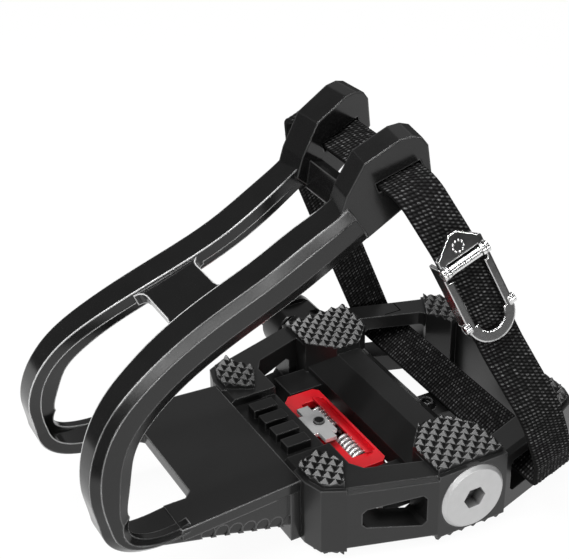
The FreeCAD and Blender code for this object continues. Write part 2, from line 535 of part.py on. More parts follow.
# Moving jaw: a sprung block between the lugs, with two claws that reach under the axle housing
jaw_side = side_slab("jaw_side", [
    ("jaw_back", "jaw_top"), ("jaw_front - 1.5", "jaw_top"), ("jaw_front", "jaw_top - 1.5"),
    ("jaw_front", "-jaw_slope_start"), ("jaw_slope_along", "-jaw_bottom"), ("jaw_back", "-jaw_bottom")],
    "-jaw_half", "jaw_half")
jaw_plan = slab("jaw_plan", both([
    ("jaw_front + 1", "jaw_half - jaw_corner - 1"), ("jaw_front - jaw_corner", "jaw_half"),
    ("jaw_back + 1.5", "jaw_half"), ("jaw_back", "jaw_half - 1.5")]), "-jaw_bottom - 1", "jaw_top + 1")
jaw_block = common("jaw_block", jaw_side, jaw_plan)
claws = []
for sign, side in (("", "outer"), ("-", "inner")):
    claws.append(slab("claw_" + side, [
        ("jaw_back + 2", sign + "jaw_half"), ("claw_side_start", sign + "jaw_half"),
        ("claw_corner_along", sign + "claw_corner_across"), ("claw_shoulder", sign + "claw_shoulder_across"),
        ("-claw_tip + 1", sign + "claw_outer"), ("-claw_tip", sign + "(claw_outer - 1)"),
        ("-claw_tip", sign + "claw_inner"), ("claw_root", sign + "claw_inner"),
        ("claw_root", sign + "claw_side"),
        ("jaw_back + 2", sign + "claw_side")], "-jaw_bottom", "-claw_top"))
boss = rod("tension_boss", "boss_radius", "plate_bottom - jaw_top + 1",
    ("boss_along", "body_mid", "jaw_top - 1"), FLAT)
spring_pocket = box("spring_pocket", "pocket_start", "pocket_end", "-pocket_half", "pocket_half",
    "-pocket_floor",
                    "jaw_top + 2")
tail_pocket = box("tail_pocket", "jaw_back - 2", "tail_end + tail_clear", "-claw_side", "claw_side",
                  "-jaw_bottom - 2", "-tail_clear_top")
jaw_pin_hole = rod("jaw_pin_hole", "pin_radius + pin_fit", "2 * jaw_half + 4",
                   ("pin_along", "body_mid - jaw_half - 2", "-pin_down"), ALONG_Y)
tension_hole = rod("tension_hole", "tension_radius + screw_fit", "jaw_bottom + plate_bottom + 4",
                   ("boss_along", "body_mid", "-jaw_bottom - 2"), FLAT)
tension_sink = rod("tension_sink", "tension_head + screw_fit", "tension_head_height + 2",
                   ("boss_along", "body_mid", "-jaw_bottom - 2"), FLAT)
hood_tubes = [rod("hood_" + word, "hood_" + word, "2 * (pocket_half + %s)" % reach,
                  ("pin_along", "body_mid - pocket_half - " + reach, "-pin_down"), ALONG_Y)
              for word, reach in (("outer", "hood_end"), ("inner", "2 * hood_end"))]
hood_side = box("hood_side", "pin_along - hood_outer - 1", "pin_along - 0.4", "-pocket_half - hood_end",
                "pocket_half + hood_end", "-hood_low", "hood_outer")
hood = common("hood", cut("hood_tube", hood_tubes[0], hood_tubes[1:]), hood_side)
jaw_hollow = cut("rear_jaw_cut", fuse("rear_jaw_blank", [jaw_block, boss] + claws),
                 [spring_pocket, tail_pocket, jaw_pin_hole, tension_hole, tension_sink])
node("rear_jaw", fuse("rear_jaw_hooded", [jaw_hollow, hood]))
node("jaw_pin", rod("jaw_pin_rod", "pin_radius", "2 * pin_half",
    ("pin_along", "body_mid - pin_half", "-pin_down"),
                    ALONG_Y))
tension_plate = slab("tension_plate_blank", both([
    ("plate_end", "plate_notch_half"), ("plate_end - plate_notch", "plate_notch_half"),
    ("plate_end - plate_notch", "plate_half"), ("plate_start + plate_notch", "plate_half"),
    ("plate_start + plate_notch", "plate_notch_half + 1"), ("plate_start", "plate_notch_half + 1")]),
    "plate_bottom", "plate_bottom + plate_thickness")
plate_hole = rod("tension_plate_hole", "tension_radius + screw_fit", "plate_thickness + 2",
                 ("boss_along", "body_mid", "plate_bottom - 1"), FLAT)
node("tension_plate", cut("tension_plate_cut", tension_plate, [plate_hole]))
screw_shank = rod("tension_shank", "tension_radius",
    "jaw_bottom + plate_bottom + plate_thickness + tension_proud",
                  ("boss_along", "body_mid", "-jaw_bottom"), FLAT)
screw_head = rod("tension_head_disc", "tension_head", "tension_head_height",
    ("boss_along", "body_mid", "-jaw_bottom"),
                 FLAT)
screw_socket = hexagon("tension_socket", "bolt_socket_across", "bolt_socket_depth + 1",
                       ("boss_along", "body_mid", "-jaw_bottom - 1"), FLAT)
node("tension_screw", cut("tension_screw_cut", fuse("tension_screw_solid", [screw_shank, screw_head]),
                          [screw_socket]))

# Springs of the moving jaw, wound round its pin
for sign, side, start in (("+", "outer", "coil_start"), ("-", "inner", "-coil_start - coil_length")):
    coil = doc.addObject("Part::Helix", "coil_path_" + side)
    coil.setExpression("Pitch", bind("coil_pitch"))
    coil.setExpression("Height", bind("coil_length"))
    coil.setExpression("Radius", bind("coil_radius"))
    wire = doc.addObject("Part::Circle", "coil_wire_" + side)
    wire.setExpression("Radius", bind("wire_radius"))
    place(wire, ("coil_radius", "0", "0"), SIDE)
    spring = doc.addObject("Part::Sweep", "coil_" + side)
    spring.Sections = [wire]
    spring.Spine = (coil, ["Edge1"])
    spring.Solid = True
    spring.Frenet = True
    place(spring, ("pin_along", "body_mid + " + start, "-pin_down"), ALONG_Y)
    node("jaw_spring_" + side, spring)

# Toe cage: sole plate, rear flange, tapering side walls and gussets
sole = slab("sole_plate", both([
    ("body_half_length", "flange_half"), ("sole_front", "sole_front_half"),
    ("sole_front", "toe_opening_half"),
    ("toe_opening + toe_opening_corner", "toe_opening_half"),
    ("toe_opening", "toe_opening_half - toe_opening_corner")]), "sole_top - sole_thickness", "sole_top")
rear_flange = box("rear_flange", "body_half_length", "body_half_length + flange_thickness", "-flange_half",
                  "flange_half", "-flange_low", "sole_top")
wall_plan = slab("wall_plan", [
    ("body_half_length", "flange_half - wall_inset"), ("wall_front", "sole_front_half - wall_inset"),
    ("wall_front", "sole_front_half - wall_inset - wall_thickness"),
    ("body_half_length", "flange_half - wall_inset - wall_thickness")], "-flange_low - 1", "sole_top")
wall_side = side_slab("wall_side", [
    ("body_half_length", "-wall_low"), ("wall_front", "sole_top - sole_thickness + 0.5"),
    ("wall_front", "sole_top - 0.5"), ("body_half_length", "sole_top - 0.5")], "0", "sole_front_half + 4")
wall_blank = common("wall_blank", wall_plan, wall_side)
wall_slant = "(sole_front_half - flange_half) / (wall_front - body_half_length)"
wall_climb = "(sole_top - sole_thickness + 0.5 + wall_low) / (wall_front - body_half_length)"
arches = []
for number in range(7):
    spot = "(arch_start + %d * arch_pitch - body_half_length)" % number
    arches.append(rod("arch_%d" % number, "arch_radius", "5", (
        "body_half_length + " + spot,
        "body_mid + flange_half - wall_inset + %s * %s - arch_depth" % (spot, wall_slant),
        "-wall_low + %s * %s + arch_rise" % (spot, wall_climb)), ALONG_Y))
side_wall = cut("side_wall", wall_blank, arches)
gusset = side_slab("gusset", [
    ("body_half_length + 1", "-gusset_low"), ("gusset_reach", "sole_top - sole_thickness + 0.5"),
    ("body_half_length + 1", "sole_top - sole_thickness + 0.5")], "gusset_across - gusset_thickness / 2",
    "gusset_across + gusset_thickness / 2")

# Outer arm: a bevelled angle section lofted from the sole plate round the toe and up to the strap loop
sections = []
for number in range(1, len(ARM_STATIONS) + 1):
    value = {word: "arm_%d_%s" % (number, word) for word in ("along", "up", "turn", "out", "flange", "depth")}
    section = outline("arm_section_%d" % number, [
        ("0", "-" + value["flange"]), ("0", "-arm_bevel"), ("-arm_bevel", "0"),
        ("-%s * arm_step" % value["depth"], "0"), ("-" + value["depth"], "-arm_edge_in"),
        ("-" + value["depth"], "-arm_edge_in - arm_wall"), ("-arm_flange", "-arm_edge_in - arm_wall"),
        ("-arm_flange", "-" + value["flange"])])
    place(section, (value["along"], "body_mid + " + value["out"], value["up"]),
          "rotation(vector(0; 1; 0); %s)" % bind(value["turn"]))
    sections.append(section)
arms = []
for name, stretch in (("arm_toe", sections[:4]), ("arm_rise", sections[3:])):
    loft = doc.addObject("Part::Loft", name)
    loft.Sections = stretch
    loft.Solid = True
    loft.Ruled = False
    arms.append(loft)

# Strap loop at the arm's end, splayed outwards to the rear
loop_points = [("loop_%d_along - loop_1_along" % n, "loop_%d_up" % n) for n in range(1,
    len(LOOP_CORNERS) + 1)]
loop_outline = outline("loop_outline", loop_points)
place(loop_outline, ("loop_1_along", "body_mid + loop_outer", "0"),
      "rotation(vector(0; 0; 1); %s) * rotation(vector(1; 0; 0); 90)" % bind("-loop_splay"))
loop = extrude("loop", loop_outline, "loop_outer - loop_inner")
half_cage = [side_wall, gusset, loop] + arms
other_half = [mirrored(item.Name + "_mirrored", item) for item in half_cage[:2]]
for item in half_cage[2:]:
    leaning = mirrored(item.Name + "_mirrored", item)
    leaning.setExpression("Base", bind("vector(0; body_mid; sole_top)"))
    leaning.setExpression("Normal", bind("vector(0; cos(cage_lean * 1 deg); -sin(cage_lean * 1 deg))"))
    other_half.append(leaning)

# Bridge between the arms and ribbed web between the loops
slope = "atan2(bridge_rear_up - bridge_front_up; bridge_front_along - bridge_rear_along)"
span = "sqrt((bridge_front_along - bridge_rear_along)^2 + (bridge_rear_up - bridge_front_up)^2)"
flare = [("0", "0"), ("0.134", "0.6"), ("0.5", "1.04"), ("1", "1.2")]
front_flare = [(span + " + bridge_flare * " + out, "bridge_front_waist + bridge_flare * " + aside)
               for out, aside in flare]
rear_flare = [("-bridge_flare * " + out, "bridge_rear_waist + bridge_flare * " + aside)
              for out, aside in reversed(flare)]
bridge_outline = outline("bridge_outline", both(
    front_flare + [(span + " + bridge_flare", "bridge_half"), ("-bridge_flare", "bridge_half")] + rear_flare))
place(bridge_outline, ("bridge_rear_along", "body_mid + bridge_shift", "bridge_rear_up"),
      "rotation(vector(0; 1; 0); %s)" % bind(slope))
bridge = extrude("bridge", bridge_outline, "bridge_thickness")
bridge.Reversed = True
web = side_slab("web", [
    ("web_front", "web_low"), ("web_front - 1", "web_top"), ("web_rear", "web_top - 1"),
    ("web_rear + 1", "web_low")],
    "-web_half", "web_half")
cage_full = fuse("cage_full", [sole, rear_flange, bridge, web] + half_cage + other_half)

# Passages for the strap and the cage's bolts
loop_slots = doc.addObject("Part::Box", "loop_slots")
loop_slots.setExpression("Length", bind("loop_slot_length"))
loop_slots.setExpression("Width", bind("4 * loop_outer"))
loop_slots.setExpression("Height", bind("loop_slot_height"))
LEAN = "rotation(vector(0; 1; 0); %s)" % bind("strap_lean")
slot_back = "loop_slot_length / 2"
slot_down = "(strap_top - loop_slot_height / 2)"
place(loop_slots, (
    "strap_low_along + %s * sin(strap_lean * 1 deg) - %s * cos(strap_lean * 1 deg)" % (slot_down, slot_back),
    "body_mid - 2 * loop_outer",
    "strap_low_up + %s * cos(strap_lean * 1 deg) + %s * sin(strap_lean * 1 deg)" % (slot_down, slot_back)),
    LEAN)
cage_bores = [rod("cage_bore_" + side, "cage_bolt_radius + screw_fit", "flange_thickness + 4",
                  ("body_half_length - 2", "body_mid %s cage_bolt_across" % sign, "0"), ALONG_X)
              for sign, side in (("+", "outer"), ("-", "inner"))]
node("toe_cage", cut("cage_cut", cage_full, [loop_slots] + cage_bores))

# Two bolts and nuts hold the cage's flange to the front bar
bolts = []
nuts = []
for sign, side in (("+", "outer"), ("-", "inner")):
    spot = "body_mid %s cage_bolt_across" % sign
    shank = rod("cage_bolt_shank_" + side, "cage_bolt_radius",
                "body_half_length + flange_thickness - front_window_end + cage_bolt_proud",
                ("front_window_end - cage_bolt_proud", spot, "0"), ALONG_X)
    head = doc.addObject("Part::Cone", "cage_bolt_head_" + side)
    head.setExpression("Radius1", bind("cage_bolt_head"))
    head.setExpression("Radius2", bind("cage_bolt_head * 0.6"))
    head.setExpression("Height", bind("cage_bolt_head_height"))
    place(head, ("body_half_length + flange_thickness", spot, "0"), ALONG_X)
    socket = hexagon("cage_bolt_socket_" + side, "bolt_socket_across", "bolt_socket_depth + 1", (
        "body_half_length + flange_thickness + cage_bolt_head_height - bolt_socket_depth", spot, "0"),
        ALONG_X)
    bolts.append(cut("cage_bolt_" + side, fuse("cage_bolt_blank_" + side, [shank, head]), [socket]))
    block = hexagon("cage_nut_block_" + side, "cage_nut_across", "cage_nut_height",
                    ("front_window_end", spot, "0"), ALONG_X)
    thread = rod("cage_nut_bore_" + side, "cage_bolt_radius + screw_fit", "cage_nut_height + 2",
                 ("front_window_end - 1", spot, "0"), ALONG_X)
    nuts.append(cut("cage_nut_" + side, block, [thread]))
for name, pieces in (("cage_bolts", bolts), ("cage_nuts", nuts)):
    group = doc.addObject("Part::Compound", name + "_pair")
    group.Links = pieces
    node(name, group)

# Strap: a closed band on a leaning plane, straight runs joined by tangent arcs
doc.recompute()
cell = {alias: float(sheet.get(alias)) for alias in size}
route = [
    (cell["strap_out_across"], 0.0, 4.0), (cell["strap_return_across"], cell["strap_return_up"], 12.0),
    (cell["strap_belly_across"], cell["strap_belly_up"], 20.0),
    (cell["strap_bow_across"], cell["strap_bow_up"], 22.0),
    (cell["strap_bend_across"], cell["strap_bend_up"], 18.0),
    (cell["strap_top_half"], cell["strap_top"], 8.0),
    (-cell["strap_top_half"], cell["strap_top"], 8.0),
    (-cell["strap_high_across"], cell["strap_high_up"], 24.0),
    (-cell["strap_in_across"], cell["strap_in_up"], 40.0), (-cell["strap_in_across"] + 0.2, 0.0, 3.4)]


def rounded(points):
    """A closed wire in the YZ plane with an arc of its own radius at each corner."""
    corners = []
    for number, (across, up, radius) in enumerate(points):
        here = FreeCAD.Vector(0, across, up)
        before = FreeCAD.Vector(0, *points[number - 1][:2]) - here
        after = FreeCAD.Vector(0, *points[(number + 1) % len(points)][:2]) - here
        before.normalize()
        after.normalize()
        half = before.getAngle(after) / 2.0
        reach = radius / math.tan(half)
        middle = before + after
        middle.normalize()
        corners.append((here + before * reach, here + middle * (radius / math.sin(half) - radius),
            here + after * reach))
    edges = []
    for number, (start, middle, end) in enumerate(corners):
        edges.append(Part.Arc(start, middle, end).toShape())
        edges.append(Part.LineSegment(end, corners[(number + 1) % len(corners)][0]).toShape())
    return Part.Wire(edges)


middle_line = rounded(route)
outside = middle_line.makeOffset2D(cell["strap_thickness"] / 2.0)
inside = middle_line.makeOffset2D(-cell["strap_thickness"] / 2.0)
band = Part.Face(outside).cut(Part.Face(inside)).Faces[0]
band.translate(FreeCAD.Vector(-cell["strap_width"] / 2.0, 0, 0))
strap = doc.addObject("Part::Feature", "strap_band")
strap.Shape = band.extrude(FreeCAD.Vector(cell["strap_width"], 0, 0))
place(strap, ("strap_low_along", "body_mid", "strap_low_up"), LEAN)
node("strap", strap)

# Buckle: built upright at its pin, then laid on the strap's outer run
TILT = "atan((strap_bow_across - strap_bend_across) / (strap_bend_up - strap_bow_up))"
half_strap = "strap_width / 2 + rail_gap"


def local_box(name, x0, x1, y0, y1, z0, z1):
    solid = doc.addObject("Part::Box", name)
    solid.setExpression("Length", bind("(%s) - (%s)" % (x1, x0)))
    solid.setExpression("Width", bind("(%s) - (%s)" % (y1, y0)))
    solid.setExpression("Height", bind("(%s) - (%s)" % (z1, z0)))
    return place(solid, (x0, y0, z0))


rail_out = half_strap + " + rail_thickness"
rails = []
for sign, side in ((1, "front"), (-1, "rear")):
    low, high = (half_strap, rail_out) if sign > 0 else ("-(%s)" % rail_out, "-(%s)" % half_strap)
    rails.append(local_box("rail_" + side, low, high, "-rail_back - strap_thickness / 2", "rail_front",
        "-rail_length",
                           "rail_top"))
    lip = ("%s - rail_lip" % half_strap, rail_out) if sign > 0 else ("-(%s)" % rail_out,
                                                                   "-(%s) + rail_lip" % half_strap)
    rails.append(local_box("lip_" + side, lip[0], lip[1], "lip_start", "rail_front", "-rail_length", "-3"))
    rails.append(rod("ear_" + side, "ear_radius", "rail_thickness", (low, "buckle_pin_out", "0"), ALONG_X))
    reach = "knuckle_half - (%s)" % half_strap
    rails.append(rod("knuckle_" + side, "knuckle_radius", reach, (
        half_strap if sign > 0 else "-knuckle_half", "(lip_start + rail_front) / 2", "-rail_length + 0.4"),
        ALONG_X))
arc_out = rod("arc_disc", rail_out, "rail_front - lip_start", ("0", "lip_start", "-rail_length"), ALONG_Y)
arc_in = rod("arc_hole", "arc_inner", "rail_front - lip_start + 2", ("0", "lip_start - 1", "-rail_length"),
    ALONG_Y)
arc_half = local_box("arc_trim", "-20", "20", "-5", "8", "-rail_length", "-rail_length + 20")
arc = cut("arc", arc_out, [arc_in, arc_half])
back_bar = local_box("back_bar", "-(%s)" % rail_out, rail_out,
                     "-strap_thickness - back_bar_gap - back_bar_thickness",
                     "-strap_thickness - back_bar_gap",
                     "-back_bar_low", "-back_bar_high")
frame_bore = rod("buckle_frame_bore", "buckle_pin_radius", "40", ("-20", "buckle_pin_out", "0"), ALONG_X)
buckle_frame = cut("buckle_frame_cut", fuse("buckle_frame_blank", rails + [arc, back_bar]), [frame_bore])

lever_outline = outline("lever_outline", [
    ("-lever_half", "lever_start"), ("lever_half", "lever_start"), ("lever_half", "lever_shoulder"),
    ("lever_top_half", "lever_top"), ("-lever_top_half", "lever_top"), ("-lever_half", "lever_shoulder")])
place(lever_outline, ("0", "buckle_pin_out + lever_thickness / 2", "0"), SIDE)
lever_plate = extrude("lever_plate", lever_outline, "lever_thickness")
lever_ears = []
for sign, side in ((1, "front"), (-1, "rear")):
    low, high = ("lever_ear_inner", "lever_ear_outer") if sign > 0 else ("-lever_ear_outer",
        "-lever_ear_inner")
    lever_ears.append(rod("lever_ear_" + side, "ear_radius", "lever_ear_outer - lever_ear_inner",
                          (low, "buckle_pin_out", "0"), ALONG_X))
    lever_ears.append(local_box("lever_arm_" + side, low, high, "buckle_pin_out - lever_thickness / 2",
                                "buckle_pin_out + lever_thickness / 2", "0", "lever_start + 0.5"))
lever_bore = rod("lever_bore", "buckle_pin_radius + pin_fit", "40", ("-20", "buckle_pin_out", "0"), ALONG_X)
buckle_lever = cut("buckle_lever_cut", fuse("buckle_lever_blank", [lever_plate] + lever_ears), [lever_bore])
buckle_pin = rod("buckle_pin_rod", "buckle_pin_radius", "2 * (%s)" % rail_out,
    ("-(%s)" % rail_out, "buckle_pin_out", "0"),
                 ALONG_X)
roller_disc = rod("roller_disc", "roller_radius", "2 * roller_half", ("-roller_half", "buckle_pin_out", "0"),
    ALONG_X)
roller_bore = rod("roller_bore", "buckle_pin_radius + pin_fit", "40", ("-20", "buckle_pin_out", "0"), ALONG_X)
buckle_roller = cut("buckle_roller_cut", roller_disc, [roller_bore])

drop_across = "(strap_bend_across + buckle_drop * sin(%s) + strap_thickness / 2 * cos(%s))" % (TILT, TILT)
drop_up = "(strap_bend_up - buckle_drop * cos(%s) + strap_thickness / 2 * sin(%s))" % (TILT, TILT)
for name, piece in (("buckle_frame", buckle_frame), ("buckle_lever", buckle_lever),
    ("buckle_pin", buckle_pin),
                    ("buckle_roller", buckle_roller)):
    laid = doc.addObject("Part::Compound", name + "_laid")
    laid.Links = [piece]
    place(laid, ("strap_low_along + %s * sin(strap_lean * 1 deg)" % drop_up, "body_mid + " + drop_across,
                 "strap_low_up + %s * cos(strap_lean * 1 deg)" % drop_up),
          LEAN + " * rotation(vector(1; 0; 0); %s)" % bind(TILT))
    node(name, laid)

# Every object has to be sound before anything is written
doc.recompute()
faults = [item.Name for item in doc.Objects if "Invalid" in item.State or "Error" in item.State]
for item in nodes:
    if item.Shape.isNull() or not item.Shape.isValid() or not item.Shape.Solids:
        faults.append(item.Label)
if faults:
    raise RuntimeError("not sound: " + ", ".join(faults))
os.makedirs("parts", exist_ok=True)
for item in nodes:
    item.Shape.exportStep("parts/%s.step" % item.Label)
    box_of = item.Shape.BoundBox
    print("%-18s solids %d volume %9.1f  x %.1f..%.1f y %.1f..%.1f z %.1f..%.1f" % (
        item.Label, len(item.Shape.Solids), item.Shape.Volume, box_of.XMin, box_of.XMax, box_of.YMin,
        box_of.YMax,
        box_of.ZMin, box_of.ZMax))
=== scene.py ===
# %% [markdown]
# # An indoor cycling pedal with a toe cage and a clip binding
# The pedal has two sides. A shoe slides under the cage and strap on the upper side, and a cleat snaps into
# the sprung binding on the lower side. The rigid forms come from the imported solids, so this lesson spends its
# time on what the solids leave plain: finishes, woven webbing, screw threads and the light of a photo studio.

# %% Loading the frame
import math
import random

import bmesh
import bpy
from mathutils import Matrix, Vector


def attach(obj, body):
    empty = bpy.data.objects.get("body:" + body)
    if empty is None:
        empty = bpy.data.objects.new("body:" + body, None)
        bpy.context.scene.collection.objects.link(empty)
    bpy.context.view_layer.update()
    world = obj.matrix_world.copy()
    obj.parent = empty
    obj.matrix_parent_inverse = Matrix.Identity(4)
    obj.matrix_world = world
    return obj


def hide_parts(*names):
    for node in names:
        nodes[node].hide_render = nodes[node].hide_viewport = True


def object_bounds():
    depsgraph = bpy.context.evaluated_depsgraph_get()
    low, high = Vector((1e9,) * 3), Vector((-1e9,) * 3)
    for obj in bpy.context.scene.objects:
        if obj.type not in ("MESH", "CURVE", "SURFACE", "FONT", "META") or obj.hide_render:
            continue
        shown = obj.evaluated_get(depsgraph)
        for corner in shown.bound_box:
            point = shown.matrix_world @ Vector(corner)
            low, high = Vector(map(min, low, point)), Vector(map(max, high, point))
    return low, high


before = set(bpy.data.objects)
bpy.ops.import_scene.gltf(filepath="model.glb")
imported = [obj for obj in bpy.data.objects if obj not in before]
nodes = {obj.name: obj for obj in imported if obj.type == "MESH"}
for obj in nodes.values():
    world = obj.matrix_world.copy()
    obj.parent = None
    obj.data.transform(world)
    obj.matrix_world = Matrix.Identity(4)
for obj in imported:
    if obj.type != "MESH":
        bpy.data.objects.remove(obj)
cad_low, cad_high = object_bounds()
MM = 0.001
print("frame:", len(nodes), "nodes,", [round(v, 4) for v in cad_high - cad_low])

# %% [markdown]
# ## Writing shader maths as sums
# A finish is a small formula: a dark base, a little noise, a brighter edge. Blender keeps such formulas as
# chains of Math nodes. Wrapping a socket in a class with the usual operators lets the formula stay readable,
# and one method makes every other kind of node.

# %% A socket that can be added and multiplied
class Wire:
    """A shader output that takes part in sums."""

    def __init__(self, finish, socket):
        self.finish = finish
        self.socket = socket

    def maths(self, operation, first, second=0.0):
        return self.finish.node("ShaderNodeMath", {"operation": operation}, {0: first, 1: second})["Value"]

    def __add__(self, other):
        return self.maths("ADD", self, other)

    def __sub__(self, other):
        return self.maths("SUBTRACT", self, other)

    def __rsub__(self, other):
        return self.maths("SUBTRACT", other, self)

    def __mul__(self, other):
        return self.maths("MULTIPLY", self, other)

    def __pow__(self, other):
        return self.maths("POWER", self, other)

    __radd__ = __add__
    __rmul__ = __mul__

    def sine(self):
        return self.maths("SINE", self)

    def most(self, other):
        return self.maths("MAXIMUM", self, other)

    def over(self, low, high):
        """0 below low, 1 above high and a smooth step between."""
        return self.finish.node("ShaderNodeMapRange", {"interpolation_type": "SMOOTHSTEP"},
                                {"Value": self, "From Min": low, "From Max": high})["Result"]


class Finish:
    """A material, or a world, whose nodes are made by one method."""

    def __init__(self, name, owner=None):
        self.owner = owner or bpy.data.materials.new(name)
        self.owner.use_nodes = True
        self.tree = self.owner.node_tree
        self.tree.nodes.clear()
        self.place = self.node("ShaderNodeTexCoord")["Object"]

    def node(self, kind, settings=None, sockets=None):
        made = self.tree.nodes.new(kind)
        for name, value in (settings or {}).items():
            setattr(made, name, value)
        for key, value in (sockets or {}).items():
            if isinstance(value, Wire):
                self.tree.links.new(value.socket, made.inputs[key])
            else:
                made.inputs[key].default_value = value
        return {output.name: Wire(self, output) for output in made.outputs if output.enabled}

    def noise(self, grain, detail=3.0, stretch=(1, 1, 1)):
        """Noise whose grain is a length in metres."""
        spot = self.node("ShaderNodeMapping", None, {"Vector": self.place, "Scale": stretch})["Vector"]
        return self.node("ShaderNodeTexNoise", None, {
            "Vector": spot, "Scale": 1.0 / grain, "Detail": detail, "Roughness": 0.55})["Fac"]

    def mix(self, factor, first, second):
        """Blends two colours."""
        return self.node("ShaderNodeMix", {"data_type": "RGBA"}, {0: factor, 6: first, 7: second})["Result"]

    def rounded(self, radius):
        """A normal that rounds sharp edges for the light only."""
        return self.node("ShaderNodeBevel", {"samples": 6}, {"Radius": radius})["Normal"]

    def openness(self, reach, inside=False):
        """1 where no other surface of the piece is within reach, outwards or into the solid."""
        settings = {"inside": inside, "only_local": True, "samples": 8}
        return self.node("ShaderNodeAmbientOcclusion", settings, {"Distance": reach})["AO"]

    def rim(self, reach):
        """A mask that is bright on outer edges, where the solid is thin."""
        return 1 - self.openness(reach, inside=True)

    def bump(self, height, distance, normal=None):
        sockets = {"Height": height, "Distance": distance, "Strength": 1.0}
        if normal:
            sockets["Normal"] = normal
        return self.node("ShaderNodeBump", None, sockets)["Normal"]

    def done(self, **sockets):
        names = {key.replace("_", " ").title().replace("Ior", "IOR"): value for key, value in sockets.items()}
        shader = self.node("ShaderNodeBsdfPrincipled", None, names)["BSDF"]
        self.node("ShaderNodeOutputMaterial", None, {"Surface": shader})
        return self.owner


def grey(level):
    return (level, level, level, 1.0)


# %% [markdown]
# ## Black alloy and black nylon
# The platform is die-cast alloy with a satin black coating. It is nearly black, but it catches soft light on
# every bevel. The cage is moulded nylon, much glossier, with the finest grain of the mould in its surface.
# A bevel node rounds the sharp edges of the solids for the light only. Ambient occlusion, turned to look into
# the solid, finds the outer edges, and a painted highlight pales the colour there, on the cage along its arms.

# %% Coated alloy and moulded nylon
HIGHLIGHT_REACH = 0.42 * MM
CLOUD_SIZE = 9 * MM
ARM_START = (27 * MM, 33 * MM)  # along X, where the cage's sole ends and its arms begin
ARM_RISE = (8 * MM, 15 * MM)  # along Z, where the arms leave the sole
# share of the painted edge highlight that still shows on the cage's sole
SOLE_HIGHLIGHT = 0.07


def coated(name, level, rough, grain, grain_depth, highlight_level, edge_radius, highlight_arms_only=False):
    """A black surface with clouds, a fine grain and a painted highlight on its outer edges, which may show on
    the cage's arms alone.
    """
    finish = Finish(name)
    cloud = finish.noise(CLOUD_SIZE, 4)
    fine = finish.noise(grain, 2)
    # Painted highlight: outer edges are paled in colour where strip lights would glint on them.
    edge_highlight = finish.rim(HIGHLIGHT_REACH).over(0.06, 0.26) * (0.45 + cloud * 0.8)
    if highlight_arms_only:
        spot = finish.node("ShaderNodeSeparateXYZ", None, {"Vector": finish.place})
        on_arm = spot["X"].over(*ARM_START) * spot["Z"].over(*ARM_RISE)
        edge_highlight = edge_highlight * (SOLE_HIGHLIGHT + on_arm * (1 - SOLE_HIGHLIGHT))
    colour = finish.mix(cloud, grey(level * 0.8), grey(level * 1.25))
    colour = finish.mix(edge_highlight, colour, grey(highlight_level))
    roughness = rough + cloud * 0.08 + fine * 0.08 - 0.08 - edge_highlight * 0.08
    return finish.done(base_color=colour, roughness=roughness, specular_ior_level=0.45,
                       normal=finish.bump(fine, grain_depth, finish.rounded(edge_radius)))


# The grey after the grain depth is the painted highlight on the outer edges, nearly white on the nylon.
BLACK_ALLOY = coated("black_alloy", 0.006, 0.36, 0.35 * MM, 0.012 * MM, 0.035, 0.40 * MM)
BLACK_NYLON = coated("black_nylon", 0.006, 0.16, 0.30 * MM, 0.0012 * MM, 0.62, 0.80 * MM, highlight_arms_only=True)
BLACK_STEEL = coated("black_steel", 0.006, 0.22, 0.50 * MM, 0.004 * MM, 0.14, 0.25 * MM)
BLACK_GLOSS = coated("black_gloss", 0.006, 0.10, 0.50 * MM, 0.001 * MM, 0.10, 0.25 * MM)
SEAL_RUBBER = coated("seal_rubber", 0.012, 0.60, 0.25 * MM, 0.010 * MM, 0.03, 0.2 * MM)
COATED = (BLACK_ALLOY, BLACK_NYLON, BLACK_STEEL, BLACK_GLOSS, SEAL_RUBBER)
print("coated finishes:", [finish.name for finish in COATED])


# %% [markdown]
# ## Bare and plated metal
# Chrome on the buckle is a mirror with faint clouds in it. The springs and the plates of the binding are
# paler and half matt, and the nut, washer and bearings are plain plated steel. The end cap is turned
# aluminium: its face carries the fine rings of the lathe, so its bump follows the distance from the spindle's
# axis, and painted shade darkens its socket with depth.

# %% Plated steel, chrome and the turned cap
PLATING_CLOUD = 4 * MM
PLATING_DEPTH = 0.003 * MM


def plated(name, level, rough, grain, edge_radius, metal=1.0):
    """A bare or plated metal with clouds and a fine grain drawn along the height."""
    finish = Finish(name)
    cloud = finish.noise(PLATING_CLOUD, 4)
    fine = finish.noise(grain, 2, stretch=(1, 1, 6))
    normal = finish.bump(fine, PLATING_DEPTH, finish.rounded(edge_radius))
    return finish.done(base_color=finish.mix(cloud, grey(level * 0.82), grey(level)), metallic=metal,
                       roughness=rough + cloud * 0.06 + fine * 0.05 - 0.05, normal=normal)


CHROME = plated("buckle_chrome", 0.80, 0.08, 0.5 * MM, 0.60 * MM)
ROLLER_CHROME = plated("roller_chrome", 0.80, 0.12, 0.5 * MM, 0.05 * MM)
PLATED_STEEL = plated("plated_steel", 0.70, 0.24, 0.35 * MM, 0.2 * MM)
SILVER_JAW = plated("silver_jaw", 0.88, 0.22, 0.35 * MM, 0.25 * MM, metal=0.55)
DARK_STEEL = plated("dark_steel", 0.05, 0.32, 0.35 * MM, 0.25 * MM)

RING_PITCH = 0.22 * MM
RING_DEPTH = 0.002 * MM
SOCKET_SHADE_REACH = 4 * MM
cap = Finish("turned_cap")
cap_parts = cap.node("ShaderNodeSeparateXYZ", None, {"Vector": cap.place})
cap_distance = (cap_parts["X"] ** 2.0 + cap_parts["Z"] ** 2.0) ** 0.5
cap_rings = (cap_distance * (2 * math.pi / RING_PITCH)).sine()
cap_cloud = cap.noise(3 * MM, 4)
cap_colour = cap.mix(cap_cloud, grey(0.43), grey(0.52))
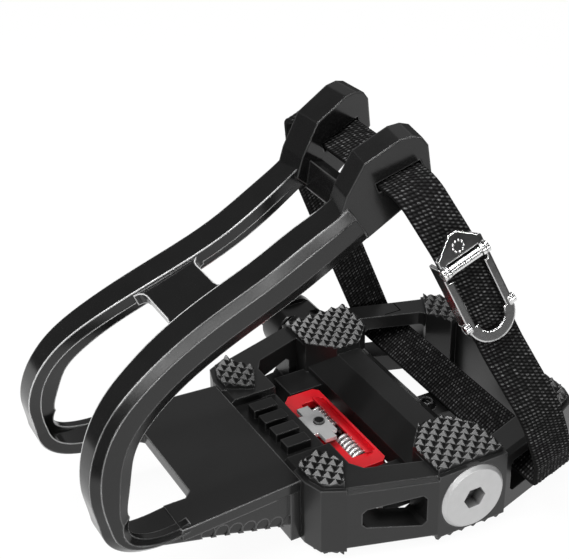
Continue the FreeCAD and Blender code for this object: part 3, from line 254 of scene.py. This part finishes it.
# Painted shade: deep in the socket the colour turns near black.
cap_colour = cap.mix(cap.openness(SOCKET_SHADE_REACH).over(0.35, 0.85), grey(0.03), cap_colour)
TURNED_CAP = cap.done(base_color=cap_colour, metallic=0.75, roughness=0.42 + cap_cloud * 0.1,
                      normal=cap.bump(cap_rings, RING_DEPTH, cap.rounded(0.35 * MM)))

# %% [markdown]
# ## The red jaw
# The moving jaw is cast, then coated in a glossy red. Under the gloss the casting is not quite smooth, and
# the red turns paler in a thin line along the edges.

# %% Glossy red coating
DEEP_RED = (0.54, 0.003, 0.009, 1)
CLEAR_RED = (0.70, 0.006, 0.015, 1)
EDGE_RED = (1.0, 0.06, 0.08, 1)
RED_EDGE = 0.4 * MM
red = Finish("red_jaw")
red_cloud = red.noise(5 * MM, 3)
red_colour = red.mix(red_cloud, DEEP_RED, CLEAR_RED)
red_colour = red.mix(red.rim(RED_EDGE).over(0.1, 0.4) * 0.3, red_colour, EDGE_RED)
RED_JAW = red.done(base_color=red_colour, roughness=0.30 + red_cloud * 0.08, coat_weight=0.4,
                   coat_roughness=0.12, normal=red.bump(red_cloud, 0.03 * MM, red.rounded(RED_EDGE)))

# %% [markdown]
# ## Dressing the solids
# Each solid keeps its shape and takes the finish of what it is made of.

# %% Finishes for the solids
DRESS = {
    BLACK_ALLOY: ["pedal_body"],
    BLACK_NYLON: ["toe_cage"],
    BLACK_STEEL: ["cage_bolts", "cage_nuts", "tension_screw"],
    BLACK_GLOSS: ["jaw_bolt"],
    SEAL_RUBBER: ["spindle_seal"],
    CHROME: ["buckle_frame", "buckle_lever", "buckle_pin"],
    SILVER_JAW: ["front_jaw", "tension_plate", "jaw_spring_outer", "jaw_spring_inner"],
    PLATED_STEEL: ["spindle_washer", "spindle_nut", "inner_bearing", "outer_bearing"],
    DARK_STEEL: ["jaw_pin"],
    TURNED_CAP: ["end_cap"],
    RED_JAW: ["rear_jaw"],
}
for finish, names in DRESS.items():
    for name in names:
        mesh = nodes[name].data
        mesh.materials.clear()
        mesh.materials.append(finish)
print("dressed:", sum(len(names) for names in DRESS.values()), "solids")

# %% [markdown]
# ## The webbing strap
# The strap is woven tape. It runs through the slots behind the axle, up both sides and through the two loops
# of the cage, all on one plane that leans towards the toe. A flat ribbon with a picture of a weave would look
# printed, so every yarn crossing is a small bump in the mesh: a grid is rolled into a closed section, carried
# along the strap's route, and raised where a warp yarn passes over.

# %% Route of the strap
STRAP_WIDTH = 11.8 * MM
STRAP_THICK = 1.8 * MM
STRAP_LEAN = math.radians(21.3)
STRAP_BASE = Vector((-23.0, 60.5, 1.4)) * MM
STRAP_CORNERS = [  # across, up and bend radius, in millimetres on the leaning plane
    (47.6, 0.0, 4.0), (53.2, 13.0, 12.0), (54.4, 31.0, 20.0), (45.5, 50.0, 22.0), (37.5, 80.0, 18.0),
    (28.6, 94.5, 8.0), (-28.6, 94.5, 8.0), (-42.8, 70.0, 24.0), (-43.9, 36.0, 40.0), (-43.7, 0.0, 3.4)]


def strap_runs():
    """Straight runs and bends as (length, start, direction, turn per metre)."""
    bends = []
    count = len(STRAP_CORNERS)
    for number, (across, up, radius) in enumerate(STRAP_CORNERS):
        here = Vector((across, up)) * MM
        before = (Vector(STRAP_CORNERS[number - 1][:2]) * MM - here).normalized()
        after = (Vector(STRAP_CORNERS[(number + 1) % count][:2]) * MM - here).normalized()
        reach = radius * MM / math.tan(before.angle(after) / 2)
        turn = -(-before).angle_signed(after)
        bends.append((here + before * reach, here + after * reach, -before, turn, radius * MM))
    runs = []
    for number, (start, end, heading, turn, radius) in enumerate(bends):
        runs.append((abs(turn) * radius, start, heading, math.copysign(1 / radius, turn)))
        leave = Matrix.Rotation(turn, 2) @ heading
        runs.append(((bends[(number + 1) % count][0] - end).length, end, leave, 0.0))
    return runs


RUNS = strap_runs()
STRAP_LENGTH = sum(run[0] for run in RUNS)
print("strap length round the pedal: %.1f mm" % (STRAP_LENGTH / MM))


def along_strap(distance):
    """Point and heading on the strap's middle line."""
    for number, (length, start, heading, bend) in enumerate(RUNS):
        if distance <= length or number == len(RUNS) - 1:
            break
        distance -= length
    if bend == 0.0:
        return start + heading * distance, heading
    side = Vector((-heading.y, heading.x))
    angle = bend * distance
    spot = start + heading * (math.sin(angle) / bend) + side * ((1 - math.cos(angle)) / bend)
    return spot, Matrix.Rotation(angle, 2) @ heading


# %% Weaving the strap
YARNS = 10
YARN_PITCH = STRAP_WIDTH / YARNS
CROSSINGS = round(STRAP_LENGTH / (1.10 * MM))
WEFT_PITCH = STRAP_LENGTH / CROSSINGS
ROWS = 4 * CROSSINGS
FACE_STEPS = 3 * YARNS
EDGE_STEPS = 2
AROUND = 2 * (FACE_STEPS + EDGE_STEPS)
CROWN_HEIGHT = 0.32 * MM
EDGE_CROWN = 0.35  # height of the woven edge, as a share of a crown
LANE_SHIFT = 0.22  # how far each yarn's crossings lag behind its neighbour's, in crossings
YARN_SLANT = 0.5  # how far a crossing leans across its yarn, in crossings
random.seed(4)
PULLS = [random.uniform(0.62, 1.0) for _ in range(997)]


def section(step):
    """Place across, place through and outward direction of a step round the strap's section."""
    half = STRAP_WIDTH / 2
    thick = STRAP_THICK / 2 - CROWN_HEIGHT
    if step <= FACE_STEPS:
        return -half + STRAP_WIDTH * step / FACE_STEPS, thick, 1.0
    if step <= FACE_STEPS + EDGE_STEPS:
        return half, thick - 2 * thick * (step - FACE_STEPS) / EDGE_STEPS, 0.0
    if step <= 2 * FACE_STEPS + EDGE_STEPS:
        return half - STRAP_WIDTH * (step - FACE_STEPS - EDGE_STEPS) / FACE_STEPS, -thick, -1.0
    return -half, -thick + 2 * thick * (step - 2 * FACE_STEPS - EDGE_STEPS) / EDGE_STEPS, 0.0


def crown(distance, across):
    """Height of a yarn, 0 to 1: it dives after each crossing, and some crossings are pulled tighter."""
    yarn = (across + STRAP_WIDTH / 2) / YARN_PITCH
    lane = min(YARNS - 1, max(0, int(yarn)))
    aside = min(1.0, max(0.0, yarn - lane))
    rounding = 0.5 + 0.5 * math.sin(math.pi * aside)
    shift = lane if lane < YARNS // 2 else YARNS - 1 - lane
    turns = distance / WEFT_PITCH + LANE_SHIFT * shift - YARN_SLANT * (aside - 0.5)
    pull = PULLS[(131 * lane + 17 * math.floor(turns)) % len(PULLS)]
    return rounding * (0.05 + 0.95 * abs(math.sin(math.pi * turns)) ** 1.2 * pull)


lean_turn = Matrix.Rotation(STRAP_LEAN, 3, "Y")
weave = bmesh.new()
bmesh.ops.create_grid(weave, x_segments=ROWS, y_segments=AROUND, size=0.5)
crown_layer = weave.verts.layers.float.new("crown")
for vert in weave.verts:
    distance = (vert.co.x + 0.5) * STRAP_LENGTH
    across, through, outward = section(round((vert.co.y + 0.5) * AROUND))
    spot, heading = along_strap(min(distance, STRAP_LENGTH))
    height = crown(distance, across) if outward else EDGE_CROWN
    out = Vector((heading.y, -heading.x))
    lifted = spot + out * (through + outward * height * CROWN_HEIGHT)
    vert.co = STRAP_BASE + lean_turn @ Vector((across, lifted.x, lifted.y))
    vert[crown_layer] = height
bmesh.ops.remove_doubles(weave, verts=weave.verts, dist=0.001 * MM)
bmesh.ops.recalc_face_normals(weave, faces=weave.faces)
for face in weave.faces:
    face.smooth = True
strap_mesh = bpy.data.meshes.new("strap_webbing")
weave.to_mesh(strap_mesh)
weave.free()
strap = bpy.data.objects.new("strap_webbing", strap_mesh)
bpy.context.collection.objects.link(strap)
print("strap:", len(strap_mesh.polygons), "faces,", ROWS, "rows")

# %% [markdown]
# Black yarn is never one black. A painted highlight pales the crowns of the yarns, on some fibres and in
# patches, and painted shade darkens the hollows between crossings almost to black.

# %% Black yarn
yarn = Finish("black_yarn")
yarn_crown = yarn.node("ShaderNodeAttribute", {"attribute_name": "crown"})["Fac"]
fibre = yarn.noise(0.45 * MM, 3)
patch = yarn.noise(1.6 * MM, 2)
# Painted highlight on the crowns of the yarns, and painted shade in the hollows.
painted_crown_highlight = yarn_crown.over(0.50, 0.95) * fibre.over(0.30, 0.62)
yarn_colour = yarn.mix(yarn_crown.over(0.1, 0.6), grey(0.001), grey(0.010))
yarn_colour = yarn.mix(painted_crown_highlight * (0.35 + patch.over(0.3, 0.7) * 0.65), yarn_colour, grey(0.165))
BLACK_YARN = yarn.done(base_color=yarn_colour, roughness=0.85 - painted_crown_highlight * 0.3, specular_ior_level=0.06,
                       normal=yarn.bump(fibre, 0.03 * MM))
strap_mesh.materials.append(BLACK_YARN)
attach(strap, "pedal_set")
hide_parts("strap")

# %% [markdown]
# ## The spindle
# A lathe turns the spindle, a mill cuts two flats for a wrench, and a roller presses the thread that screws
# into the crank. In Blender a spin does the lathe's work: a line of edges swept round the axis. The same
# operator with a small climb along the axis at each step winds a thread, and two cutting planes trim it to
# length. A left pedal has a left-hand thread, so it winds the other way.

# %% Helpers for turned forms
def chain(shape, points):
    """A line of edges through the points, given in millimetres."""
    line = bmesh.ops.create_vert(shape, co=Vector(points[0]) * MM)["vert"]
    for point in points[1:]:
        grown = bmesh.ops.extrude_vert_indiv(shape, verts=line[-1:])
        line.append(grown["verts"][0])
        line[-1].co = Vector(point) * MM
    return line


def spun(shape, line, angle, steps, climb=0.0):
    """Sweeps a line of edges round the Y axis, with a climb along it at each step."""
    edges = list({edge for vert in line for edge in vert.link_edges})
    bmesh.ops.spin(shape, geom=line + edges, cent=(0, 0, 0), axis=(0, 1, 0), dvec=(0, climb, 0), angle=angle,
                   steps=steps, use_merge=climb == 0.0)
    bmesh.ops.remove_doubles(shape, verts=shape.verts, dist=0.002 * MM)


def shown(name, shape, finish, body, hidden=None):
    """Turns a bmesh into a piece that rides a body."""
    bmesh.ops.recalc_face_normals(shape, faces=shape.faces)
    mesh = bpy.data.meshes.new(name)
    shape.to_mesh(mesh)
    shape.free()
    mesh.shade_smooth()
    mesh.set_sharp_from_angle(angle=math.radians(32))
    mesh.materials.append(finish)
    piece = bpy.data.objects.new(name, mesh)
    bpy.context.collection.objects.link(piece)
    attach(piece, body)
    if hidden:
        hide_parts(hidden)
    print(name + ":", len(mesh.polygons), "faces")


# %% Winding and trimming the thread, in millimetres
THREAD_RADIUS = 7.144
THREAD_ROOT = 6.42
THREAD_PITCH = 1.27
THREAD_LENGTH = 13.0
THREAD_BEVEL = 0.9
THREAD_OVERLAP = 0.02  # how far the thread runs into the flange
THREAD_TURNS = 14
TURN_STEPS = 64
RIDGE_PROFILE = (  # share of the pitch, and radius
    (0.0, THREAD_ROOT), (0.12, THREAD_ROOT), (0.50, THREAD_RADIUS), (0.62, THREAD_RADIUS), (1.0, THREAD_ROOT))
thread = bmesh.new()
thread_start = -THREAD_LENGTH - 2 * THREAD_PITCH
ridge = chain(thread, [(radius, thread_start + part * THREAD_PITCH, 0) for part, radius in RIDGE_PROFILE])
spun(thread, ridge, -2 * math.pi * THREAD_TURNS, TURN_STEPS * THREAD_TURNS, THREAD_PITCH * MM / TURN_STEPS)
for end, way in ((-THREAD_LENGTH, -1), (THREAD_OVERLAP, 1)):
    bmesh.ops.bisect_plane(thread, geom=thread.verts[:] + thread.edges[:] + thread.faces[:], dist=0.0001 * MM,
                           plane_co=(0, end * MM, 0), plane_no=(0, way, 0), clear_outer=True)
for vert in thread.verts:
    radius = math.hypot(vert.co.x, vert.co.z)
    limit = (THREAD_RADIUS - max(0.0, THREAD_BEVEL - THREAD_LENGTH - vert.co.y / MM)) * MM
    if radius > limit:
        vert.co.x *= limit / radius
        vert.co.z *= limit / radius

# %% A hexagon socket in the thread's end
SOCKET_RADIUS = 3.464
SOCKET_DEPTH = 7.0
rim = [edge for edge in thread.edges if edge.is_boundary and edge.verts[0].co.y < -0.5 * THREAD_LENGTH * MM]
socket_place = Matrix.Translation((0, -THREAD_LENGTH * MM, 0)) @ Matrix.Rotation(math.pi / 2, 4, "X")
socket = bmesh.ops.create_circle(thread, segments=6, radius=SOCKET_RADIUS * MM, matrix=socket_place)
socket_edges = list({edge for vert in socket["verts"] for edge in vert.link_edges})
bmesh.ops.bridge_loops(thread, edges=rim + socket_edges)
pushed = bmesh.ops.extrude_edge_only(thread, edges=socket_edges)["geom"]
floor_verts = [item for item in pushed if isinstance(item, bmesh.types.BMVert)]
bmesh.ops.translate(thread, verts=floor_verts, vec=(0, SOCKET_DEPTH * MM, 0))
bmesh.ops.contextual_create(thread, geom=floor_verts)
shown("spindle_thread", thread, DARK_STEEL, "spindle_set")

# %% Flange, flats and shank, in millimetres
SHANK_PROFILE = (  # radius, and place along the axis
    (0.0, 0.0), (8.8, 0.0), (9.2, 0.4), (9.2, 3.99), (9.2, 4.01), (9.2, 9.6), (8.8, 10.0), (7.9, 10.0),
    (7.9, 19.1), (5.97, 19.1), (5.97, 25.7), (5.2, 25.7), (4.8, 85.7), (3.97, 85.7), (3.97, 91.3),
    (2.97, 91.3), (2.97, 97.7), (0.0, 97.7))
SHANK_STEPS = 96
FLATS_START = 4.0
FLATS_END = 10.001
FLATS_HALF = 7.5
shank = bmesh.new()
spun(shank, chain(shank, [(radius, place, 0) for radius, place in SHANK_PROFILE]), 2 * math.pi, SHANK_STEPS)
for vert in shank.verts:
    if FLATS_START * MM < vert.co.y < FLATS_END * MM:
        vert.co.z = max(-FLATS_HALF * MM, min(FLATS_HALF * MM, vert.co.z))
shown("spindle_shank", shank, DARK_STEEL, "spindle_set", "spindle")

# %% [markdown]
# ## Small marks
# The buckle's roller is ridged so that it grips the strap, its lever has a ring of dots pressed into it, and
# a fine letter on the frame says that this is the left pedal. The roller is spun from a zigzag line, dots are
# flattened spheres, and the letter is two thin strokes laid into the frame's top, painted near black as the
# shade inside the letter's cut.

# %% A ridged roller on the buckle's pin
PIN = Vector((5.138, 101.678, 73.571)) * MM
LEVER_SIDE = Vector((0.93169, 0.0, -0.36325))
LEVER_UP = Vector((0.35100, -0.25766, 0.90027))
LEVER_OUT = LEVER_UP.cross(LEVER_SIDE)
ROLLER_RADIUS = 1.5
ROLLER_BORE = 0.86
ROLLER_HALF = 4.6
ROLLER_STEPS = 48
RIDGES = 15
RIDGE_DEPTH = 0.10
zigzag = [(ROLLER_BORE, -ROLLER_HALF, 0)]
for number in range(2 * RIDGES + 1):
    depth = 0 if number % 2 else RIDGE_DEPTH
    zigzag.append((ROLLER_RADIUS - depth, ROLLER_HALF * (number / RIDGES - 1), 0))
zigzag += [(ROLLER_BORE, ROLLER_HALF, 0), zigzag[0]]
roller = bmesh.new()
spun(roller, chain(roller, zigzag), 2 * math.pi, ROLLER_STEPS)
roller_turn = Matrix((LEVER_OUT, LEVER_SIDE, -LEVER_UP)).transposed().to_4x4()
bmesh.ops.transform(roller, matrix=Matrix.Translation(PIN) @ roller_turn, verts=roller.verts)
shown("ridged_roller", roller, ROLLER_CHROME, "roller", "buckle_roller")

# %% Dots on the lever
DOTS = 9
DOT_RADIUS = 0.36
DOT_FLATTEN = Matrix.Diagonal((1, 0.5, 1, 1))
DOT_RING = 1.5
DOT_RING_UP = 4.7
DOT_RING_OUT = 0.58
lever_frame = Matrix((LEVER_SIDE, LEVER_OUT, LEVER_UP)).transposed().to_4x4()
dots = bmesh.new()
for number in range(DOTS):
    angle = 2 * math.pi * number / DOTS
    spot = PIN + LEVER_OUT * DOT_RING_OUT * MM
    spot += LEVER_SIDE * DOT_RING * MM * math.cos(angle)
    spot += LEVER_UP * (DOT_RING_UP + DOT_RING * math.sin(angle)) * MM
    bmesh.ops.create_uvsphere(dots, u_segments=16, v_segments=8, radius=DOT_RADIUS * MM,
                              matrix=Matrix.Translation(spot) @ lever_frame @ DOT_FLATTEN)
shown("lever_dots", dots, CHROME, "lever")

# %% The letter for the left side
LETTER_TOP = 10.3
LETTER_CORNER = Vector((-25.3, 27.85, LETTER_TOP))
LETTER_ENDS = (Vector((-25.6, 23.7, LETTER_TOP)), Vector((-19.95, 27.75, LETTER_TOP)))
STROKE_WIDTH = 0.32
STROKE_THICK = 0.03
STROKE_EXTRA = 0.3
letter = bmesh.new()
for end in LETTER_ENDS:
    stroke = end - LETTER_CORNER
    middle = Matrix.Translation((LETTER_CORNER + end) * MM / 2)
    turn = Matrix.Rotation(math.atan2(stroke.y, stroke.x), 4, "Z")
    sized = Matrix.Diagonal((stroke.length + STROKE_EXTRA, STROKE_WIDTH, STROKE_THICK, 1))
    bmesh.ops.create_cube(letter, size=MM, matrix=middle @ turn @ sized)
# Painted shade: the strokes are near black, standing for the shade in the letter's cut.
letter_groove_shade = Finish("letter_groove_shade")
LETTER_GROOVE_SHADE = letter_groove_shade.done(base_color=grey(0.0008), roughness=1.0, specular_ior_level=0.0)
shown("side_letter", letter, LETTER_GROOVE_SHADE, "pedal_set")

# %% [markdown]
# ## Camera
# The photograph looks down on the pedal from beyond its outer toe corner, through a fairly long lens.

# %% Camera at the photograph's place
camera_data = bpy.data.cameras.new("camera")
camera = bpy.data.objects.new("camera", camera_data)
bpy.context.collection.objects.link(camera)
CAMERA_SPOT = Vector((191.0, 354.7, 253.5)) * MM
CAMERA_RIGHT = Vector((-0.87661, 0.48096, -0.01593))
CAMERA_UP = Vector((-0.25731, -0.44049, 0.86012))
CAMERA_BACK = Vector((0.40666, 0.75807, 0.50988))
camera_turn = Matrix((CAMERA_RIGHT, CAMERA_UP, CAMERA_BACK)).transposed()
camera.matrix_world = Matrix.Translation(CAMERA_SPOT) @ camera_turn.to_4x4()
camera_data.sensor_fit = "HORIZONTAL"
camera_data.sensor_width = 36.0
camera_data.lens = 92.85
camera_data.clip_start = 0.01
camera_data.clip_end = 20.0
bpy.context.scene.camera = camera

# %% [markdown]
# ## Studio
# The pedal was photographed on white, under soft light from above and from both sides. The long bright
# streaks on the cage's bevels are the reflections of strip lights, so three strips stand beside one large
# lamp, with a dim card on the crank's side. Chrome needs something dark to reflect, so in reflections the
# white floor glows only near the pedal and gives way to a dark room.

# %% Floor and backdrop
FLOOR_HALF = 3.0
FLOOR_GAP = 0.0002
floor_mesh = bpy.data.meshes.new("floor")
floor_shape = bmesh.new()
bmesh.ops.create_grid(floor_shape, x_segments=1, y_segments=1, size=FLOOR_HALF)
bmesh.ops.translate(floor_shape, verts=floor_shape.verts, vec=(0, 0, cad_low.z - FLOOR_GAP))
floor_shape.to_mesh(floor_mesh)
floor_shape.free()
floor = bpy.data.objects.new("floor", floor_mesh)
bpy.context.collection.objects.link(floor)

AMBIENT = 0.10
GLOW_FADES = (0.22, 0.45)  # distances in metres between which reflections lose the floor's glow
ROOM_STARTS = (0.26, 0.50)  # and between which they turn to the dark room
GLOW_SHARE = 0.95
ROOM_SHARE = 0.93
pale = Finish("pale_floor")
path = pale.node("ShaderNodeLightPath")
far = pale.node("ShaderNodeVectorMath", {"operation": "LENGTH"}, {0: pale.place})["Value"]
near_glow = path["Is Glossy Ray"] * (1 - far.over(*GLOW_FADES))
seen = path["Is Camera Ray"].most(near_glow)
lit = pale.node("ShaderNodeBsdfDiffuse", None, {"Color": grey(0.86)})["BSDF"]
glow = pale.node("ShaderNodeEmission", None, {"Color": grey(1.0), "Strength": 1.0})["Emission"]
blend = pale.node("ShaderNodeMixShader", None, {0: seen * GLOW_SHARE, 1: lit, 2: glow})["Shader"]
room = pale.node("ShaderNodeBsdfDiffuse", None, {"Color": grey(0.02)})["BSDF"]
dim = path["Is Glossy Ray"] * far.over(*ROOM_STARTS) * ROOM_SHARE
sweep = pale.node("ShaderNodeMixShader", None, {0: dim, 1: blend, 2: room})["Shader"]
pale.node("ShaderNodeOutputMaterial", None, {"Surface": sweep})
floor_mesh.materials.append(pale.owner)

studio = Finish("studio", bpy.data.worlds.new("studio"))
studio_path = studio.node("ShaderNodeLightPath")
white = studio_path["Is Camera Ray"].most(studio_path["Is Transmission Ray"])
sky = studio.node("ShaderNodeBackground", None, {"Strength": AMBIENT + white * (1 - AMBIENT)})["Background"]
studio.node("ShaderNodeOutputWorld", None, {"Surface": sky})
bpy.context.scene.world = studio.owner

# %% Lamps
MIDDLE = Vector((0.02, 0.06, 0.03))


def lamp(name, spot, width, height, watts, along=(1, 0, 0)):
    """A flat lamp that faces the pedal, with its width along the given direction."""
    data = bpy.data.lights.new(name, "AREA")
    data.shape = "RECTANGLE"
    data.size = width
    data.size_y = height
    data.energy = watts
    made = bpy.data.objects.new(name, data)
    bpy.context.collection.objects.link(made)
    back = (Vector(spot) - MIDDLE).normalized()
    side = (Vector(along) - back * back.dot(Vector(along))).normalized()
    turn = Matrix((side, back.cross(side), back)).transposed()
    made.matrix_world = Matrix.Translation(spot) @ turn.to_4x4()


lamp("toe_lamp", (0.52, 0.22, 0.78), 0.40, 0.40, 8.0)
lamp("top_strip", (0.16, -0.02, 0.95), 1.10, 0.05, 8.0)
lamp("arm_strip", (0.15, 0.64, 0.73), 1.10, 0.06, 1.4)
lamp("outer_strip", (-0.05, 0.95, 0.22), 1.10, 0.05, 5.0)
lamp("crank_card", (-0.38, -0.66, 0.52), 0.80, 0.50, 0.35, along=(0.87, -0.49, 0))
bpy.context.scene.view_settings.view_transform = "Standard"
